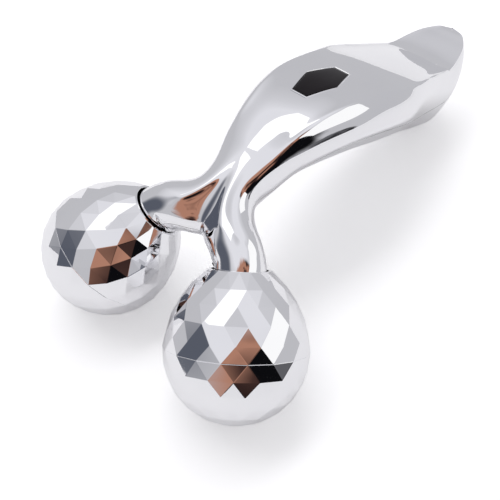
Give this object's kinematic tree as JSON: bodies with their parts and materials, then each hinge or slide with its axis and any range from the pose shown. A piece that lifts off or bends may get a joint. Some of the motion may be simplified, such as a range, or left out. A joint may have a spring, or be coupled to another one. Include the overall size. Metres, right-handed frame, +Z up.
{
  "type": "massage roller",
  "caption": "Hand-held chrome massage roller: faceted ball rollers spin freely on a Y-shaped fork that blends into an arched handle with a dark solar window.",
  "frame": {"origin": "under the middle of the part, on the floor that the balls rest on", "axes": "+X along the handle from the balls to the tail, +Y towards the left ball, +Z up"},
  "size_m": [0.1802, 0.0965, 0.0628],
  "materials": {
    "handle_plating": "mirror polished plating on moulded plastic",
    "ball_plating": "mirror polished facets, plating on moulded plastic",
    "window": "glossy black pane",
    "cell": "dark cell",
    "lead_cover": "insulated wire",
    "hub_plastic": "moulded",
    "brass_parts": "turned or stamped",
    "steel_parts": "ground"
  },
  "bodies": {
    "handle": {"upper_shell": "handle_plating", "lower_shell": "handle_plating", "solar_window": "window", "solar_cell": "cell", "handle_contact": "brass_parts", "handle_lead": "lead_cover", "left_lead": "lead_cover", "left_axle": "steel_parts", "left_thrust_washer": "steel_parts", "left_retaining_clip": "steel_parts", "left_terminal": "brass_parts", "right_lead": "lead_cover", "right_axle": "steel_parts", "right_thrust_washer": "steel_parts", "right_retaining_clip": "steel_parts", "right_terminal": "brass_parts"},
    "left_roller": {"left_ball_outer_half": "ball_plating", "left_ball_inner_half": "ball_plating", "left_hub": "hub_plastic", "left_inner_bush": "brass_parts", "left_outer_bush": "brass_parts"},
    "right_roller": {"right_ball_outer_half": "ball_plating", "right_ball_inner_half": "ball_plating", "right_hub": "hub_plastic", "right_inner_bush": "brass_parts", "right_outer_bush": "brass_parts"}
  },
  "joints": [
    {"name": "left_roller_spin", "type": "hinge", "parent": "handle", "child": "left_roller", "pos_m": [-0.06912, 0.0274, 0.02084], "axis": [0.5856, -0.4575, 0.6691], "continuous": true},
    {"name": "right_roller_spin", "type": "hinge", "parent": "handle", "child": "right_roller", "pos_m": [-0.06912, -0.0274, 0.02084], "axis": [0.5856, 0.4575, 0.6691], "continuous": true}
  ]
}
